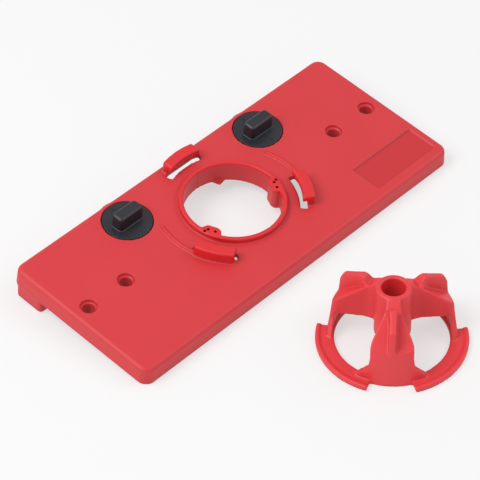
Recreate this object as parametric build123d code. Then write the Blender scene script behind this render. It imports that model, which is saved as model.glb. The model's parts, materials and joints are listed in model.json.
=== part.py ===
from build123d import *
from math import atan2, cos, degrees, radians, sin, tan
import os

# Hinge drilling jig for 35 mm cup hinges: a moulded base plate with two setting knobs, and the
# three-legged drill guide that turns in under the plate's bayonet hooks, here lying in front of it.
# Plate coordinates, in millimetres: z = 0 is the face that lies on the door, the Z axis is the
# ring's axis, +X runs along the plate and +Y towards the fence. At the end the plate is set down as
# it lies on a table, on its front edge and its fence, which tips it by a few degrees, and the origin
# moves to the middle of the ring at the height of the plate's top. The guide has coordinates of its
# own, and stands on the same table.

# Base plate
plate_length = 223.0
front_reach = 50.4
rear_margin = 2.6
plate_depth = 9.7
side_draft = 5.0
skin = 3.0
skirt = 2.4
corner_radius = 6.0
top_edge_radius = 2.4
rib_thickness = 1.8
rib_pitch_x = 27.5
rib_pitch_y = 24.0

# Ring and its hinge screw patterns, each as half the spacing and the offset from the cup's centre
cup_bore_radius = 25.3
collar_wall = 2.6
collar_height = 3.05
collar_edge = 0.6
screw_patterns = [(26.0, 5.5), (24.0, 6.0), (22.5, 9.5)]
pilot_radius = 1.05
pilot_wall = 1.9
pointer_angles = [60.0, 240.0]
pointer_reach = 3.3
pointer_half_width = 4.0
pointer_thickness = 0.8
notch_half_width = 0.8
notch_depth = 0.6

# Bayonet hooks and arc ribs
flange_room = 10.4
hook_wall = 3.3
hook_overlap = 3.0
hook_height = 6.5
hook_lip = 3.2
hook_edge = 0.7
hook_length = 20.6
hook_angles = [90.0, -30.0, 210.0]
slot_relief = 0.9
slot_half_angle = 18.0
arc_rib_offset = 1.0
arc_rib_width = 1.5
arc_rib_height = 1.4
arc_rib_half_angle = 17.0
arc_rib_angles = [2.0, 178.0]

# Screw holes and label field
hole_places = [75.8, 101.1]
hole_radius = 3.25
counterbore_radius = 4.35
counterbore_depth = 1.9
hole_sleeve_wall = 2.6
label_centre = (84.4, -34.6)
label_size = (44.2, 18.8)
label_depth = 0.8
label_corner = 1.5

# Fence blocks under the rear edge
fence_front = 23.4
fence_setback = 3.2
fence_drop = 7.7
fence_inner_end = 66.0
fence_inset = 0.3
fence_corner = 2.0
fence_cell = 19.0

# Setting knobs
knob_x = 47.5
knob_y = 27.9
knob_radius = 12.95
knob_disc = 2.3
knob_gap = 0.3
seat_gap = 0.1
grip_length = 16.4
grip_width = 7.6
grip_height = 7.8
grip_draft = 3.0
grip_corner = 2.0
grip_edge = 0.8
shaft_radius = 5.0
running_gap = 0.05
knob_boss_radius = 16.2
knob_boss_floor = 3.3
cam_room_radius = 15.2
body_gap = 0.3

# Setting cams: edge setbacks of the cup hole, in the order that the knob turns them to the door
cup_radius = 17.5
setbacks = [3.0, 4.0, 5.0, 6.0]
cam_drop = 5.0
cam_corner = 1.2
drive_side = 5.6
drive_depth = 4.3
drive_gap = 0.05
cam_floor = 1.6

# Cam screws and washers
screw_radius = 1.45
screw_length = 9.0
screw_pilot_radius = 1.5
screw_hole_radius = 1.7
head_radius = 2.6
head_height = 1.3
washer_radius = 2.9
washer_thickness = 0.5
cam_pocket_radius = 3.2

# Drill guide: r is counted from its own axis and z from the table
flange_gap = 0.3
hook_play = 0.75
flange_thickness = 2.3
lip_width = 2.2
lip_height = 3.1
leg_gap_half_angle = 18.6
bushing_radius = 8.9
bushing_bore_radius = 6.0
bushing_lead_in = 0.35
bushing_edge = 0.8
bushing_top = 35.8
bushing_bottom = 6.8
bushing_draft = 0.5
foot_standoff = 4.0
leg_draft = 6.0
leg_wall = 2.6
leg_half_width = 11.1
arm_sill_inner = 11.5
arm_sill_outer = 13.5
arm_wall = 2.2
arm_root_half_width = 2.2
arm_neck_run = 3.9
arm_neck_half_width = 3.8
arm_shoulder_run = 6.7
arm_half_width = 10.5
arm_side_blend = 8.0
roof_drop = 0.9
roof_slope = 36.8
fin_start = 4.1
fin_crest_run = 7.4
fin_crest_rise = 0.7
fin_shoulder_run = 4.3
fin_shoulder_drop = 4.7
fin_end_run = 2.0
fin_end_drop = 10.8
fin_half_width = 1.65
fin_flare = 2.3
fin_flare_run = 6.2
fin_crest_blend = 2.2
fin_shoulder_blend = 3.0
gusset_half_width = 17.5
gusset_height = 9.8
guide_centre = (-6.2, -113.35)
guide_turn = -139.2

plate_top = plate_depth
fence_outer_end = plate_length / 2 - fence_inset
collar_radius = cup_bore_radius + collar_wall
hook_wall_radius = collar_radius + flange_room
hook_inner_radius = hook_wall_radius - hook_overlap
hook_outer_radius = hook_wall_radius + hook_wall
slot_inner_radius = hook_inner_radius - slot_relief
arc_rib_radius = hook_wall_radius + arc_rib_offset
rear_reach = hook_outer_radius + rear_margin
fence_rear = rear_reach - fence_setback
flange_inner_radius = collar_radius + flange_gap
flange_radius = hook_wall_radius - hook_play
foot_radius = flange_inner_radius + foot_standoff
roof_start = bushing_radius + roof_drop / 2
roof_fall = tan(radians(roof_slope))
plate_width = front_reach + rear_reach
plate_middle = (rear_reach - front_reach) / 2
recess_floor = plate_top - knob_disc - seat_gap
boss_face = recess_floor - knob_boss_floor
cam_top = boss_face - body_gap
cam_bottom = -cam_drop
drive_end = cam_top - drive_depth
pocket_top = drive_end - cam_floor
lean = degrees(atan2(fence_drop, front_reach + fence_front))
table_height = -front_reach * sin(radians(lean)) - plate_top * cos(radians(lean))
foot_up = (Align.CENTER, Align.CENTER, Align.MIN)


def pie(radius, middle, half_angle):
    """A triangle from the axis that covers the angles middle - half to middle + half."""
    reach = radius / cos(radians(half_angle)) + 1
    corners = [(0, 0)]
    for angle in (middle - half_angle, middle + half_angle):
        corners.append((reach * cos(radians(angle)), reach * sin(radians(angle))))
    return make_face(Polyline(*corners, close=True))


def ring_sector(inner, outer, bottom, top, middle, half_angle):
    """A stretch of flat ring about the Z axis, under 120 degrees long."""
    face = (Circle(outer) - Circle(inner)) & pie(outer, middle, half_angle)
    return Pos(0, 0, bottom) * extrude(face, top - bottom)


def wall_prism(points, half_width):
    """An outline in the XZ plane, thickened evenly to both sides."""
    return extrude(Plane.XZ * make_face(Polyline(*points, close=True)), half_width, both=True)


def plate_outline(inset):
    """The plate seen from above, or the line that lies inset from its edge."""
    return Pos(0, plate_middle) * RectangleRounded(
        plate_length - 2 * inset, plate_width - 2 * inset, corner_radius - inset)


def fence_outline(side):
    """A fence block seen from above, side -1 for the left end and 1 for the right."""
    middle = side * (fence_outer_end + fence_inner_end) / 2
    return Pos(middle, (fence_front + fence_rear) / 2) * RectangleRounded(
        fence_outer_end - fence_inner_end, fence_rear - fence_front, fence_corner)


def fence_cells(side):
    """The openings below a fence block, between its even walls."""
    length = fence_outer_end - fence_inner_end - skirt
    count = max(1, round(length / fence_cell))
    pitch = length / count
    openings = Sketch()
    for number in range(count):
        x = side * (fence_inner_end + skirt / 2 + (number + 0.5) * pitch)
        openings += Pos(x, (fence_front + fence_rear) / 2) * Rectangle(
            pitch - skirt, fence_rear - fence_front - 2 * skirt)
    return openings


def hollow_outline():
    """What is open below the skin, seen from above: the cells between ribs, blocks and sleeves."""
    hollow = plate_outline(skirt)
    columns = int((plate_length / 2 - skirt) / rib_pitch_x)
    for column in range(-columns, columns + 1):
        hollow -= Pos(column * rib_pitch_x, plate_middle) * Rectangle(rib_thickness, plate_width)
    rows = int((front_reach + fence_front) / rib_pitch_y)
    for row in range(1, rows + 1):
        hollow -= Pos(0, row * rib_pitch_y - front_reach) * Rectangle(plate_length, rib_thickness)
    for side in (-1, 1):
        hollow += Pos(side * knob_x, knob_y) * Circle(cam_room_radius)
        block_middle = side * (fence_outer_end + fence_inner_end) / 2
        hollow -= fence_outline(side)
        hollow -= Pos(block_middle, (fence_front + fence_corner + rear_reach) / 2) * Rectangle(
            fence_outer_end - fence_inner_end, rear_reach - fence_front - fence_corner)
        hollow += fence_cells(side)
        for place in hole_places:
            hollow -= Pos(side * place, 0) * Circle(hole_radius + hole_sleeve_wall)
    slots = (Circle(hook_outer_radius + skirt) - Circle(slot_inner_radius)) & plate_outline(skirt)
    return hollow + slots - Circle(collar_radius - collar_wall / 2)


def plate_shell():
    """The plate as a ribbed tray, open below, with the fence blocks under its rear corners."""
    shell = extrude(plate_outline(0), plate_depth, taper=side_draft)
    shell = fillet(shell.faces().sort_by(Axis.Z)[-1].edges(), top_edge_radius)
    for side in (-1, 1):
        shell += Pos(0, 0, -fence_drop) * extrude(fence_outline(side), fence_drop + plate_depth - skin)
    shell -= extrude(hollow_outline(), plate_depth - skin)
    for side in (-1, 1):
        shell -= Pos(0, 0, -fence_drop) * extrude(fence_cells(side), fence_drop)
    return shell


def ring():
    """The collar round the cup opening, with its pilot bosses, centre notches and index pointers."""
    height = plate_top + collar_height
    collar = Cylinder(collar_radius, height, align=foot_up) - Cylinder(cup_bore_radius, height, align=foot_up)
    collar = chamfer(collar.faces().sort_by(Axis.Z)[-1].edges(), collar_edge)
    limit = Circle(collar_radius - collar_edge)
    for side in (-1, 1):
        places = [Pos(side * half, -offset) * Circle(pilot_radius + pilot_wall)
                  for half, offset in screw_patterns]
        boss = make_hull(places[0].edges() + places[1].edges() + places[2].edges()) & limit
        collar += extrude(boss, height)
        notch = make_face(Polyline(
            (-notch_half_width, side * (cup_bore_radius - notch_depth)),
            (notch_half_width, side * (cup_bore_radius - notch_depth)),
            (0, side * (cup_bore_radius + notch_depth)), close=True))
        collar -= extrude(notch, height)
        for half, offset in screw_patterns:
            collar -= Pos(side * half, -offset) * Cylinder(pilot_radius, height, align=foot_up)
    base = cup_bore_radius + collar_wall / 2
    pointer = make_face(Polyline(
        (base, -pointer_half_width), (base, pointer_half_width), (cup_bore_radius, pointer_half_width),
        (cup_bore_radius - pointer_reach, 0), (cup_bore_radius, -pointer_half_width), close=True))
    for angle in pointer_angles:
        collar += Rot(0, 0, angle) * extrude(pointer, pointer_thickness)
    return collar


def bayonet_hook(angle):
    """One hook before its slot is cut: a block on the plate with broken upper edges."""
    across = Pos(hook_outer_radius / 2, 0) * Rectangle(hook_outer_radius, hook_length)
    outline = (Circle(hook_outer_radius) - Circle(hook_inner_radius)) & across
    block = extrude(outline, hook_height + skin / 2)
    block = chamfer(block.faces().sort_by(Axis.Z)[-1].edges(), hook_edge)
    return Rot(0, 0, angle) * Pos(0, 0, plate_top - skin / 2) * block


def hook_slot(angle):
    """The slot through the plate and under the hook's lip, where the guide's flange turns in."""
    return ring_sector(slot_inner_radius, hook_wall_radius, 0, plate_top + hook_height - hook_lip,
                       angle, slot_half_angle)


def base_plate():
    plate = plate_shell()
    plate -= Cylinder(collar_radius - collar_wall / 2, plate_top, align=foot_up)
    plate += ring()
    for angle in hook_angles:
        plate += bayonet_hook(angle)
        plate -= hook_slot(angle)
    for angle in arc_rib_angles:
        plate += ring_sector(arc_rib_radius, arc_rib_radius + arc_rib_width, plate_top - skin / 2,
                             plate_top + arc_rib_height, angle, arc_rib_half_angle)
    for side in (-1, 1):
        seat = Pos(side * knob_x, knob_y)
        plate += seat * Pos(0, 0, boss_face) * Cylinder(
            knob_boss_radius, plate_top - skin / 2 - boss_face, align=foot_up)
        plate -= seat * Pos(0, 0, recess_floor) * Cylinder(
            knob_radius + knob_gap, plate_top - recess_floor, align=foot_up)
        plate -= seat * Cylinder(shaft_radius + running_gap, plate_top, align=foot_up)
        for place in hole_places:
            plate -= Pos(side * place, 0) * Cylinder(hole_radius, plate_top, align=foot_up)
            plate -= Pos(side * place, 0, plate_top - counterbore_depth) * Cylinder(
                counterbore_radius, counterbore_depth, align=foot_up)
    field = RectangleRounded(*label_size, label_corner)
    return plate - Pos(*label_centre, plate_top - label_depth) * extrude(field, label_depth)


def knob():
    """Disc, grip bar, round shaft and square drive, on the knob's own axis."""
    disc = Pos(0, 0, plate_top - knob_disc) * Cylinder(knob_radius, knob_disc, align=foot_up)
    outline = RectangleRounded(grip_length, grip_width, grip_corner)
    bar = extrude(outline, grip_height + knob_disc / 2, taper=grip_draft)
    bar = chamfer(bar.faces().sort_by(Axis.Z)[-1].edges(), grip_edge)
    shaft = Pos(0, 0, cam_top) * Cylinder(shaft_radius, plate_top - knob_disc - cam_top, align=foot_up)
    drive = Pos(0, 0, drive_end) * Box(drive_side, drive_side, drive_depth, align=foot_up)
    pilot = Pos(0, 0, drive_end) * Cylinder(
        screw_pilot_radius, plate_top - knob_disc - drive_end, align=foot_up)
    return disc + Pos(0, 0, plate_top - knob_disc / 2) * bar + (shaft + drive - pilot)


def cam():
    """Four faces at four distances from the axis, one for each setback of the cup hole."""
    reaches = [knob_y - cup_radius - setback for setback in setbacks]
    front, left, rear, right = reaches
    outline = make_face(Polyline(
        (-left, -front), (right, -front), (right, rear), (-left, rear), close=True))
    outline = fillet(outline.vertices(), cam_corner)
    block = Pos(0, 0, cam_bottom) * extrude(outline, cam_top - cam_bottom)
    side = drive_side + 2 * drive_gap
    block -= Pos(0, 0, drive_end) * Box(side, side, drive_depth, align=foot_up)
    block -= Pos(0, 0, cam_bottom) * Cylinder(screw_hole_radius, cam_top - cam_bottom, align=foot_up)
    return block - Pos(0, 0, cam_bottom) * Cylinder(cam_pocket_radius, pocket_top - cam_bottom, align=foot_up)


def cam_washer():
    disc = Cylinder(washer_radius, washer_thickness, align=foot_up)
    disc -= Cylinder(screw_hole_radius, washer_thickness, align=foot_up)
    return Pos(0, 0, pocket_top - washer_thickness) * disc


def cam_screw():
    seat = pocket_top - washer_thickness
    head = Pos(0, 0, seat - head_height) * Cylinder(head_radius, head_height, align=foot_up)
    return head + Pos(0, 0, seat) * Cylinder(screw_radius, screw_length, align=foot_up)


def leg_cone(radius):
    """The round body that bounds the legs: it narrows upwards by the mould's draft."""
    height = bushing_top + 2 * fin_crest_rise
    return Cone(radius, radius - height * tan(radians(leg_draft)), height, align=foot_up)


def roof_height(r):
    """The height of an arm's sloping top above the table."""
    return bushing_top - roof_drop - roof_fall * (r - roof_start)


def arm_plan(inset):
    """An arm seen from above: narrow at the bushing and wide at its outer wall."""
    half = [(0, arm_root_half_width), (bushing_radius + arm_neck_run, arm_neck_half_width),
            (foot_radius - arm_shoulder_run, arm_half_width), (foot_radius + 1, arm_half_width)]
    half = [(x, y - inset) for x, y in half]
    outline = make_face(Polyline(*half, *[(x, -y) for x, y in reversed(half)], close=True))
    bends = [v for v in outline.vertices() if 1 < v.X < foot_radius]
    return extrude(fillet(bends, arm_side_blend), bushing_top)


def arm():
    """The upper part of one leg, along +X: a flat top that falls from the bushing to the outer wall."""
    far = foot_radius + 1
    profile = [(0, arm_sill_inner), (bushing_radius, arm_sill_inner),
               (foot_radius - leg_wall, arm_sill_outer), (far, arm_sill_outer), (far, roof_height(far)),
               (roof_start, roof_height(roof_start)), (0, roof_height(roof_start))]
    return wall_prism(profile, leg_half_width) & arm_plan(0) & leg_cone(foot_radius)


def fin():
    """The web that stands along the middle of an arm: it flares at the bushing and ends in the wall."""
    far = foot_radius + 1
    start = bushing_radius + fin_start
    profile = [(start, roof_height(start) - arm_wall / 2), (far, roof_height(far) - arm_wall / 2),
               (far, bushing_top - fin_end_drop - 2),
               (foot_radius - fin_end_run, bushing_top - fin_end_drop),
               (foot_radius - fin_shoulder_run, bushing_top - fin_shoulder_drop),
               (bushing_radius + fin_crest_run, bushing_top + fin_crest_rise), (start, roof_height(start))]
    outline = make_face(Polyline(*profile, close=True))
    outline = fillet(outline.vertices().sort_by(Axis.Y)[-1], fin_crest_blend)
    outline = fillet(outline.vertices().sort_by_distance(
        (foot_radius - fin_shoulder_run, bushing_top - fin_shoulder_drop))[0], fin_shoulder_blend)
    web = extrude(Plane.XZ * outline, leg_half_width, both=True)
    narrow = start + fin_flare_run
    wide = fin_half_width + fin_flare
    sides = [TangentArc((narrow, y * fin_half_width), (start, y * wide), tangent=(-1, 0)) for y in (1, -1)]
    ends = [Polyline((narrow, fin_half_width), (far, fin_half_width), (far, -fin_half_width),
                     (narrow, -fin_half_width)), Line((start, -wide), (start, wide))]
    return web & extrude(make_face([*sides, *ends]), bushing_top + 2 * fin_crest_rise) & leg_cone(foot_radius)


def arm_hollow():
    """The space inside an arm, open below, that leaves even walls and an even roof."""
    drop = arm_wall / cos(radians(roof_slope))
    profile = [(0, 0), (foot_radius, 0), (foot_radius, roof_height(foot_radius) - drop),
               (roof_start, roof_height(roof_start) - drop), (0, roof_height(roof_start) - drop)]
    return wall_prism(profile, leg_half_width) & arm_plan(arm_wall) & leg_cone(foot_radius - leg_wall)


def leg_foot():
    """The outer wall of one leg, from the table up to the arm, with its gussets on the flange."""
    wall = leg_cone(foot_radius) - leg_cone(foot_radius - leg_wall)
    gusset = [(-gusset_half_width, 0), (gusset_half_width, 0), (gusset_half_width, flange_thickness),
              (leg_half_width, gusset_height), (arm_half_width, arm_sill_outer + 1),
              (-arm_half_width, arm_sill_outer + 1), (-leg_half_width, gusset_height),
              (-gusset_half_width, flange_thickness)]
    section = Plane.YZ * make_face(Polyline(*gusset, close=True))
    return wall & extrude(section, foot_radius)


def drill_guide():
    """Bushing, three legs and a flange in three stretches, each with a raised outer lip."""
    body = Part()
    height = bushing_top - bushing_bottom
    bottom_radius = bushing_radius + height * tan(radians(bushing_draft))
    bushing = Pos(0, 0, bushing_bottom) * Cone(bottom_radius, bushing_radius, height, align=foot_up)
    bushing = chamfer(bushing.edges().sort_by(Axis.Z)[-1], bushing_edge)
    hollow = arm_hollow()
    for number in range(3):
        turn = Rot(0, 0, 120 * number)
        body += turn * ((arm() + fin() - hollow) + leg_foot())
        body += turn * ring_sector(flange_inner_radius, flange_radius, 0, flange_thickness,
                                   60, 60 - leg_gap_half_angle)
        body += turn * ring_sector(flange_radius - lip_width, flange_radius, 0, lip_height,
                                   60, 60 - leg_gap_half_angle)
        body += turn * ring_sector(flange_inner_radius, foot_radius, 0, flange_thickness,
                                   0, leg_gap_half_angle + 1)
    body += bushing
    body -= Cylinder(bushing_bore_radius, bushing_top, align=foot_up)
    lead = Pos(0, 0, bushing_top - bushing_lead_in) * Cone(
        bushing_bore_radius, bushing_bore_radius + bushing_lead_in, bushing_lead_in, align=foot_up)
    return body - lead


leaned = Rot(lean, 0, 0) * Pos(0, 0, -plate_top)
pieces = {
    "base_plate": leaned * base_plate(),
    "drill_guide": Pos(*guide_centre, table_height) * Rot(0, 0, guide_turn) * drill_guide(),
}
for name, side in (("left", -1), ("right", 1)):
    place = leaned * Pos(side * knob_x, knob_y)
    pieces[f"knob_{name}"] = place * knob()
    pieces[f"cam_{name}"] = place * cam()
    pieces[f"cam_washer_{name}"] = place * cam_washer()
    pieces[f"cam_screw_{name}"] = place * cam_screw()

os.makedirs("parts", exist_ok=True)
for name, shape in pieces.items():
    export_step(shape, f"parts/{name}.step")
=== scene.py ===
import json
import math
import bpy
from mathutils import Euler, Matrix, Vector

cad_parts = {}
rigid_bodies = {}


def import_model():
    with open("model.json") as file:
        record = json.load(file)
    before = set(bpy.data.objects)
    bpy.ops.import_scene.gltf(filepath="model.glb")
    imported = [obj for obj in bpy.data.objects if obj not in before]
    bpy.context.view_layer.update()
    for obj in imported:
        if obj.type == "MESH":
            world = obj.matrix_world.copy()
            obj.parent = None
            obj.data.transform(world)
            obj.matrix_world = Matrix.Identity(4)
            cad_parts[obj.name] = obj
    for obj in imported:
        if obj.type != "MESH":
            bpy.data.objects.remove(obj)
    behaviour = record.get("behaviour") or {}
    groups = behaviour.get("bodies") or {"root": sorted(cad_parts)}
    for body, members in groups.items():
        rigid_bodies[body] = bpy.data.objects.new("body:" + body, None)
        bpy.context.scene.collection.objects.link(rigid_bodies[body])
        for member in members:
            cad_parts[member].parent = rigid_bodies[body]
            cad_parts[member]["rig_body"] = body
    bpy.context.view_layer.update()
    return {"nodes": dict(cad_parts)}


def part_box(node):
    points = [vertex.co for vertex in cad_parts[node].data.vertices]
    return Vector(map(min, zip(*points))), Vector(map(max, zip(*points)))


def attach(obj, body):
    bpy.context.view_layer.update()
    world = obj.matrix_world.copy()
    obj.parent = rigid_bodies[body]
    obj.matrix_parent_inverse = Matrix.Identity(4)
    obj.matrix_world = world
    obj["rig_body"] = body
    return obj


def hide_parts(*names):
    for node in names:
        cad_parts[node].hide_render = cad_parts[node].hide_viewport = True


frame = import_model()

# The camera stands at the front left of the jig and looks down on it from 43 degrees, far off and
# with a long lens, so the plate's edges stay almost parallel.
camera_place = (-0.6952, -0.69156, 0.90335)
camera_tilt = (46.5349, 0.8696, -46.1637)
camera_lens = 197.3
camera_sensor = 36
camera_reach = 10
bpy.ops.object.camera_add(location=camera_place, rotation=[math.radians(angle) for angle in camera_tilt])
camera = bpy.context.object
camera.data.lens = camera_lens
camera.data.sensor_width = camera_sensor
camera.data.clip_end = camera_reach
bpy.context.scene.camera = camera

# The studio is a wide sheet of white paper with the jig's own soft shadow on it, under a large soft
# box at the back left, a weaker one at the front right and an even white sky.
table_height = min(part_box(name)[0][2] for name in frame["nodes"])
jig_middle = (0, -0.04, 0)
soft_box_size = 0.9
sky_level = 0.62
paper_size = 12
paper_glow = 0.94
glow_share = 0.6
white = (1, 1, 1, 1)


def linear(hex_colour):
    """An sRGB hex colour as the linear values that Blender's sockets take."""
    values = []
    for start in (0, 2, 4):
        value = int(hex_colour[start:start + 2], 16) / 255
        values.append(value / 12.92 if value <= 0.04045 else ((value + 0.055) / 1.055) ** 2.4)
    return (*values, 1)


def add_node(tree, kind, settings=None, **inputs):
    """Adds a node to a tree. An input is a number, a colour, or an output socket to link."""
    node = tree.nodes.new(kind)
    for name, value in (settings or {}).items():
        setattr(node, name, value)
    for name, value in inputs.items():
        socket = node.inputs[int(name[1:])] if name[0] == "_" else node.inputs[name.replace("_", " ")]
        if isinstance(value, bpy.types.NodeSocket):
            tree.links.new(value, socket)
        else:
            socket.default_value = value
    return node


def soft_box(name, place, power):
    """A square area light that faces the middle of the jig."""
    bpy.ops.object.light_add(type="AREA", location=place)
    lamp = bpy.context.object
    lamp.name = name
    lamp.data.size = soft_box_size
    lamp.data.energy = power
    lamp.rotation_euler = (Vector(jig_middle) - Vector(place)).to_track_quat("-Z", "Y").to_euler()


soft_box("soft_box_left", (-0.9, 0.35, 1.25), 14)
soft_box("soft_box_right", (0.9, -0.8, 1.1), 5)
sky = bpy.data.worlds.new("studio_sky")
sky.use_nodes = True
sky.node_tree.nodes["Background"].inputs["Color"].default_value = white
sky.node_tree.nodes["Background"].inputs["Strength"].default_value = sky_level
bpy.context.scene.world = sky
bpy.context.scene.view_settings.view_transform = "Standard"

bpy.ops.object.select_all(action="DESELECT")
bpy.ops.mesh.primitive_plane_add(size=paper_size, location=(0, 0, table_height))
floor = bpy.context.object
floor.name = "studio_floor"

# The paper is uncoated, so it has no gloss. Seen straight, or mirrored in the jig, it also glows a
# little and comes out almost white, and it still takes the jig's shadow.
floor_paper = bpy.data.materials.new("white_background_paper")
floor_paper.use_nodes = True
tree = floor_paper.node_tree
paper = tree.nodes["Principled BSDF"]
paper.inputs["Base Color"].default_value = linear("EDEDED")
paper.inputs["Roughness"].default_value = 0.9
paper.inputs["Specular IOR Level"].default_value = 0.1
seen = add_node(tree, "ShaderNodeLightPath")
glow = add_node(tree, "ShaderNodeEmission", Color=white, Strength=paper_glow)
mirrored = add_node(tree, "ShaderNodeMath", {"operation": "MAXIMUM"}, _0=seen.outputs["Is Glossy Ray"],
                    _1=seen.outputs["Is Transmission Ray"])
either = add_node(tree, "ShaderNodeMath", {"operation": "MAXIMUM"}, _0=seen.outputs["Is Camera Ray"],
                  _1=mirrored.outputs[0])
share = add_node(tree, "ShaderNodeMath", {"operation": "MULTIPLY"}, _0=either.outputs[0], _1=glow_share)
mixed = add_node(tree, "ShaderNodeMixShader", _0=share.outputs[0], _1=paper.outputs[0],
                 _2=glow.outputs[0])
tree.links.new(mixed.outputs[0], tree.nodes["Material Output"].inputs["Surface"])
floor.data.materials.append(floor_paper)

# The base plate is one injection moulding in red ABS, and leans on the fence below its rear edge.
# The mould's faces are spark-eroded to a fine matt grain, and every edge comes out slightly round.
plate_lean = math.radians(5.956)
plate_grid = 0.0005
plate_rounding = 3
plate_share = 0.34
plate_smooth_angle = math.radians(50)
merge_distance = 0.000002


def injection_moulded(name, dull, bright, crease_painted_shade_colour, roughness, patch, grain_size):
    """An even moulded plastic: faint flow clouds, a fine grain, and painted shade in its creases."""
    crease_reach = 0.002
    crease_range = (0.4, 0.92)
    gloss_spread = 0.05
    grain_height = 0.0001
    material = bpy.data.materials.new(name)
    material.use_nodes = True
    tree = material.node_tree
    shader = tree.nodes["Principled BSDF"]
    place = add_node(tree, "ShaderNodeTexCoord").outputs["Object"]
    cloud = add_node(tree, "ShaderNodeTexNoise", Vector=place, Scale=1 / patch, Detail=2.0)
    shade = add_node(tree, "ShaderNodeMix", {"data_type": "RGBA", "name": "shade"},
                     _0=cloud.outputs[0], _6=linear(dull), _7=linear(bright))
    # Painted shade: where ambient occlusion finds a crease, the colour is darkened towards the crease
    # colour.
    crease = add_node(tree, "ShaderNodeAmbientOcclusion", {"samples": 6}, Distance=crease_reach)
    depth = add_node(tree, "ShaderNodeMapRange", Value=crease.outputs["AO"], From_Min=crease_range[0],
                     From_Max=crease_range[1])
    painted_crease_shade = add_node(tree, "ShaderNodeMix", {"data_type": "RGBA", "name": "painted_crease_shade"},
                       _0=depth.outputs[0], _6=linear(crease_painted_shade_colour), _7=shade.outputs[2])
    tree.links.new(painted_crease_shade.outputs[2], shader.inputs["Base Color"])
    gloss = add_node(tree, "ShaderNodeMapRange", Value=cloud.outputs[0],
                     To_Min=roughness - gloss_spread, To_Max=roughness + gloss_spread)
    tree.links.new(gloss.outputs[0], shader.inputs["Roughness"])
    grain = add_node(tree, "ShaderNodeTexNoise", Vector=place, Scale=1 / grain_size, Detail=2.0)
    bump = add_node(tree, "ShaderNodeBump", Height=grain.outputs[0], Strength=0.15, Distance=grain_height)
    tree.links.new(bump.outputs[0], shader.inputs["Normal"])
    return material


# Moulded ABS has a soft satin shine and a colour that drifts a little over 35 mm. The grain of its
# faces is about 0.1 mm across, and is drawn at 0.55 mm so that it shows.
red_abs = injection_moulded("red_abs_moulded", "CB2F35", "D2343A", "9C1219", 0.5, 0.035, 0.00055)

# The raised ring, hooks and ribs are painted a cleaner, deeper red, as painted shade for how the light
# falls on them. In the shallow bare field on the plate's right the ground is painted a deeper red as
# painted shade, and deeper still along its front and back edges as painted shadow.
raised_painted_shade_red = "D8242B"
field_painted_shade_red = "C5282F"
field_edge_painted_shadow_red = "A2161D"
raised_range = (0.0003, 0.0012)
field_range = (-0.0001, -0.0007)
field_middle = (0.0844, -0.0346)
field_half = (0.0221, 0.0094)
field_front_edge = 0.0002
field_back_edge = 0.0012
ground_middle = field_middle[1] + (field_front_edge - field_back_edge) / 2
ground_half = field_half[1] - (field_front_edge + field_back_edge) / 2
plate_axes = {
    "height": (0, -math.sin(plate_lean), math.cos(plate_lean)),
    "along": (1, 0, 0),
    "across": (0, math.cos(plate_lean), math.sin(plate_lean)),
}
tree = red_abs.node_tree
place = add_node(tree, "ShaderNodeTexCoord").outputs["Object"]
reading = {}
for name, axis in plate_axes.items():
    measure = add_node(tree, "ShaderNodeVectorMath", {"operation": "DOT_PRODUCT"}, _0=place, _1=axis)
    reading[name] = measure.outputs["Value"]
# Painted shade on the raised details, then painted shade on the field's ground and painted shadow along its
# front and back edges.
raised = add_node(tree, "ShaderNodeMapRange", Value=reading["height"], From_Min=raised_range[0],
                  From_Max=raised_range[1])
painted_detail_shade = add_node(tree, "ShaderNodeMix", {"data_type": "RGBA"}, _0=raised.outputs[0],
                      _6=tree.nodes["shade"].outputs[2], _7=linear(raised_painted_shade_red))
in_length = add_node(tree, "ShaderNodeMath", {"operation": "COMPARE"}, _0=reading["along"],
                     _1=field_middle[0], _2=field_half[0])
in_width = add_node(tree, "ShaderNodeMath", {"operation": "COMPARE"}, _0=reading["across"],
                    _1=field_middle[1], _2=field_half[1])
in_depth = add_node(tree, "ShaderNodeMapRange", Value=reading["height"], From_Min=field_range[0],
                    From_Max=field_range[1])
on_ground = add_node(tree, "ShaderNodeMath", {"operation": "COMPARE"}, _0=reading["across"],
                     _1=ground_middle, _2=ground_half)
field_painted_shade_and_shadow = add_node(tree, "ShaderNodeMix", {"data_type": "RGBA"}, _0=on_ground.outputs[0],
                        _6=linear(field_edge_painted_shadow_red), _7=linear(field_painted_shade_red))
in_plan = add_node(tree, "ShaderNodeMath", {"operation": "MULTIPLY"}, _0=in_length.outputs[0],
                   _1=in_width.outputs[0])
in_field = add_node(tree, "ShaderNodeMath", {"operation": "MULTIPLY"}, _0=in_plan.outputs[0],
                    _1=in_depth.outputs[0])
colour = add_node(tree, "ShaderNodeMix", {"data_type": "RGBA"}, _0=in_field.outputs[0],
                  _6=painted_detail_shade.outputs[2], _7=field_painted_shade_and_shadow.outputs[2])
tree.links.new(colour.outputs[2], tree.nodes["painted_crease_shade"].inputs[7])


def merged_copy(node_name, name):
    """A copy of a CAD node with its loose triangles merged, in the node's place and on its body."""
    node = frame["nodes"][node_name]
    bpy.ops.object.select_all(action="DESELECT")
    node.select_set(True)
    bpy.context.view_layer.objects.active = node
    bpy.ops.object.duplicate()
    piece = bpy.context.object
    piece.name = name
    piece.data.name = name
    # The copy is a new piece, so it drops the marks that it took over from the node.
    for key in list(piece.keys()):
        if key.startswith("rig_"):
            del piece[key]
    bpy.ops.object.mode_set(mode="EDIT")
    bpy.ops.mesh.select_all(action="SELECT")
    bpy.ops.mesh.remove_doubles(threshold=merge_distance)
    bpy.ops.object.mode_set(mode="OBJECT")
    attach(piece, node["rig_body"])
    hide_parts(node_name)
    return piece


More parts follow.
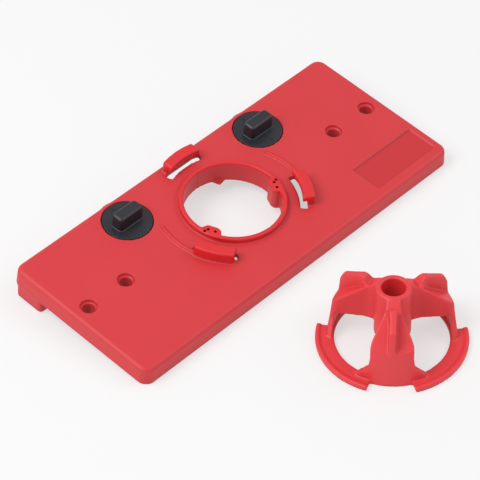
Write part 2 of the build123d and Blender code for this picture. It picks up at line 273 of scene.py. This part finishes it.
def tip(piece, angle):
    """Tips a piece's mesh about the X axis. With no window, an angle above zero tips it backwards."""
    bpy.ops.object.select_all(action="DESELECT")
    piece.select_set(True)
    bpy.context.view_layer.objects.active = piece
    bpy.ops.object.mode_set(mode="EDIT")
    bpy.ops.mesh.select_all(action="SELECT")
    bpy.ops.transform.rotate(value=angle, orient_axis="X", orient_type="GLOBAL", center_override=(0, 0, 0))
    bpy.ops.object.mode_set(mode="OBJECT")


def mould(piece, grid, rounding, share, lean=0.0):
    """Gives a piece one even skin with round edges. A leaning piece is levelled for it, then tipped back."""
    if lean:
        tip(piece, lean)
    skin = piece.modifiers.new("even_skin", "REMESH")
    skin.mode = "VOXEL"
    skin.voxel_size = grid
    bpy.ops.object.modifier_apply(modifier=skin.name)
    soft = piece.modifiers.new("soft_edges", "SMOOTH")
    soft.factor = 0.5
    soft.iterations = rounding
    bpy.ops.object.modifier_apply(modifier=soft.name)
    fewer = piece.modifiers.new("fewer_faces", "DECIMATE")
    fewer.ratio = share
    bpy.ops.object.modifier_apply(modifier=fewer.name)
    if lean:
        tip(piece, -lean)
    bpy.ops.object.shade_smooth()


def paint(piece, material):
    """Gives a piece its one material, in a slot of its own."""
    piece.data.materials.clear()
    piece.data.materials.append(material)


def plate_point(x, y, z):
    """A point over the plate's top face, in millimetres from the ring's axis, in the room's metres."""
    y, z = y / 1000, z / 1000
    return (x / 1000, y * math.cos(plate_lean) - z * math.sin(plate_lean),
            y * math.sin(plate_lean) + z * math.cos(plate_lean))


# Six small holes in the ring guide an awl. They stand at half the spacing and at the setback of the
# three usual screw patterns of cup hinges, in millimetres, on each side of the cup opening. The
# drills stand higher than the fillings, which opens the ring's top and leaves 1 mm closed below.
screw_patterns = ((26.0, -5.5), (24.0, -6.0), (22.5, -9.5))
pin_bottom = -9.7
pin_top = 2.8
pin_sides = 32
filling_radius = 0.00125
drill_radius = 0.0008
drill_lift = 0.001


def pins(radius, name):
    """Upright pins through the ring at the screw patterns' places, as one object."""
    bpy.ops.object.select_all(action="DESELECT")
    made = []
    for side in (-1, 1):
        for x, y in screw_patterns:
            bpy.ops.mesh.primitive_cylinder_add(
                vertices=pin_sides, radius=radius, depth=(pin_top - pin_bottom) / 1000,
                location=plate_point(side * x, y, (pin_top + pin_bottom) / 2), rotation=(plate_lean, 0, 0))
            made.append(bpy.context.object)
    for pin in made:
        pin.select_set(True)
    bpy.ops.object.join()
    joined = bpy.context.object
    joined.name = name
    bpy.ops.object.transform_apply(location=True, rotation=True, scale=True)
    return joined


# The holes are filled before the plate gets its skin, which would blur them, and drilled after that.
fillings = pins(filling_radius, "pilot_fillings")
plate = merged_copy("base_plate", "plate_moulding")
bpy.ops.object.select_all(action="DESELECT")
fillings.select_set(True)
plate.select_set(True)
bpy.context.view_layer.objects.active = plate
bpy.ops.object.join()
mould(plate, plate_grid, plate_rounding, plate_share, plate_lean)
drills = pins(drill_radius, "pilot_drills")
drills.location.z = drill_lift
bpy.context.view_layer.update()
bpy.context.view_layer.objects.active = plate
holes = plate.modifiers.new("pilot_holes", "BOOLEAN")
holes.operation = "DIFFERENCE"
holes.solver = "EXACT"
holes.object = drills
bpy.ops.object.modifier_apply(modifier=holes.name)
bpy.data.objects.remove(drills)
bpy.ops.object.select_all(action="DESELECT")
plate.select_set(True)
bpy.ops.object.shade_smooth_by_angle(angle=plate_smooth_angle)
paint(plate, red_abs)

# The drill guide is moulded in the same red ABS, in one piece: bushing, three hollow legs with
# their fins, and the flange in three stretches. Its blends are softer than the plate's, and its
# faces are a little smoother and brighter.
guide_grid = 0.00042
guide_rounding = 11
guide_share = 0.5
guide_abs = injection_moulded("red_abs_moulded_fine", "DD353B", "E43A40", "A3141B", 0.46, 0.02, 0.00045)
guide = merged_copy("drill_guide", "guide_moulding")
mould(guide, guide_grid, guide_rounding, guide_share)
paint(guide, guide_abs)

# The two setting knobs are moulded in black nylon: a disc flush with the plate, a grip bar, and the
# shaft below. Each disc carries the cup's four edge distances in millimetres, raised by 0.15 mm.
knob_places = {"left": (-47.5, 27.9), "right": (47.5, 27.9)}
knob_grid = 0.00025
knob_rounding = 3
knob_share = 0.5
dial_radius = 10.3
dial_numbers = (("3", 0, -1), ("4", -1, 0), ("5", 0, 1), ("6", 1, 0))
digit_base = 0.02
digit_size = 0.0029
digit_depth = 0.00008
digit_edge = 0.00005

# Moulded nylon is a blue-black satin with a clearer shine than the ABS. Its grain is drawn at
# 0.4 mm, coarser than the real one, so that it shows.
black_nylon = injection_moulded("black_nylon_moulded", "0B0B16", "151624", "050509", 0.46, 0.006, 0.0004)
black_nylon.node_tree.nodes["Principled BSDF"].inputs["Specular IOR Level"].default_value = 0.7
for side, (knob_x, knob_y) in knob_places.items():
    knob = merged_copy(f"knob_{side}", f"knob_{side}_moulding")
    mould(knob, knob_grid, knob_rounding, knob_share, plate_lean)
    marks = []
    for number, dx, dy in dial_numbers:
        bpy.ops.object.text_add(
            location=plate_point(knob_x + dial_radius * dx, knob_y + dial_radius * dy, digit_base),
            rotation=(plate_lean, 0, 0))
        mark = bpy.context.object
        mark.data.body = number
        mark.data.size = digit_size
        mark.data.extrude = digit_depth
        mark.data.bevel_depth = digit_edge
        mark.data.align_x = "CENTER"
        mark.data.align_y = "CENTER"
        bpy.ops.object.convert(target="MESH")
        marks.append(bpy.context.object)
    bpy.ops.object.select_all(action="DESELECT")
    for mark in marks:
        mark.select_set(True)
    bpy.context.view_layer.objects.active = marks[0]
    bpy.ops.object.join()
    digits = bpy.context.object
    digits.name = f"knob_{side}_digits"
    bpy.ops.object.transform_apply(location=True, rotation=True, scale=True)
    paint(digits, black_nylon)
    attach(digits, f"{side}_setting")
    paint(knob, black_nylon)

# The cams under the plate are moulded in the same nylon. Each sits on its knob's square drive, and
# a screw and a washer hold it there.
cam_grid = 0.00025
cam_rounding = 2
cam_share = 0.4
for side in knob_places:
    cam = merged_copy(f"cam_{side}", f"cam_{side}_moulding")
    mould(cam, cam_grid, cam_rounding, cam_share, plate_lean)
    paint(cam, black_nylon)

# Washers and thread-forming screws are steel, zinc plated and clear passivated: bright, slightly
# blue, and cloudy every 1.5 mm where the plating is uneven. The screws have a cross recess.
plating_patch = 0.0015
steel_smooth_angle = math.radians(30)
recess_height = -13.7
recess_size = (2.9, 0.6, 1.5)
zinc_steel = bpy.data.materials.new("steel_zinc_plated")
zinc_steel.use_nodes = True
tree = zinc_steel.node_tree
zinc_shader = tree.nodes["Principled BSDF"]
zinc_shader.inputs["Metallic"].default_value = 1.0
place = add_node(tree, "ShaderNodeTexCoord").outputs["Object"]
cloud = add_node(tree, "ShaderNodeTexNoise", Vector=place, Scale=1 / plating_patch, Detail=3.0)
shade = add_node(tree, "ShaderNodeMix", {"data_type": "RGBA"}, _0=cloud.outputs[0],
                 _6=linear("B4B9C0"), _7=linear("CCD0D4"))
tree.links.new(shade.outputs[2], zinc_shader.inputs["Base Color"])
gloss = add_node(tree, "ShaderNodeMapRange", Value=cloud.outputs[0], To_Min=0.25, To_Max=0.42)
tree.links.new(gloss.outputs[0], zinc_shader.inputs["Roughness"])
for side, (knob_x, knob_y) in knob_places.items():
    washer = merged_copy(f"cam_washer_{side}", f"cam_washer_{side}_pressing")
    bpy.ops.object.shade_smooth_by_angle(angle=steel_smooth_angle)
    paint(washer, zinc_steel)
    screw = merged_copy(f"cam_screw_{side}", f"cam_screw_{side}_turned")
    for turn in (0, math.radians(90)):
        bpy.ops.mesh.primitive_cube_add(size=0.001, location=plate_point(knob_x, knob_y, recess_height))
        wing = bpy.context.object
        wing.scale = recess_size
        wing_turn = Euler((plate_lean, 0, 0)).to_matrix() @ Euler((0, 0, turn)).to_matrix()
        wing.rotation_euler = wing_turn.to_euler()
        bpy.context.view_layer.update()
        bpy.context.view_layer.objects.active = screw
        recess = screw.modifiers.new("cross_recess", "BOOLEAN")
        recess.operation = "DIFFERENCE"
        recess.object = wing
        bpy.ops.object.modifier_apply(modifier=recess.name)
        bpy.data.objects.remove(wing)
    bpy.ops.object.select_all(action="DESELECT")
    screw.select_set(True)
    bpy.context.view_layer.objects.active = screw
    bpy.ops.object.shade_smooth_by_angle(angle=steel_smooth_angle)
    paint(screw, zinc_steel)
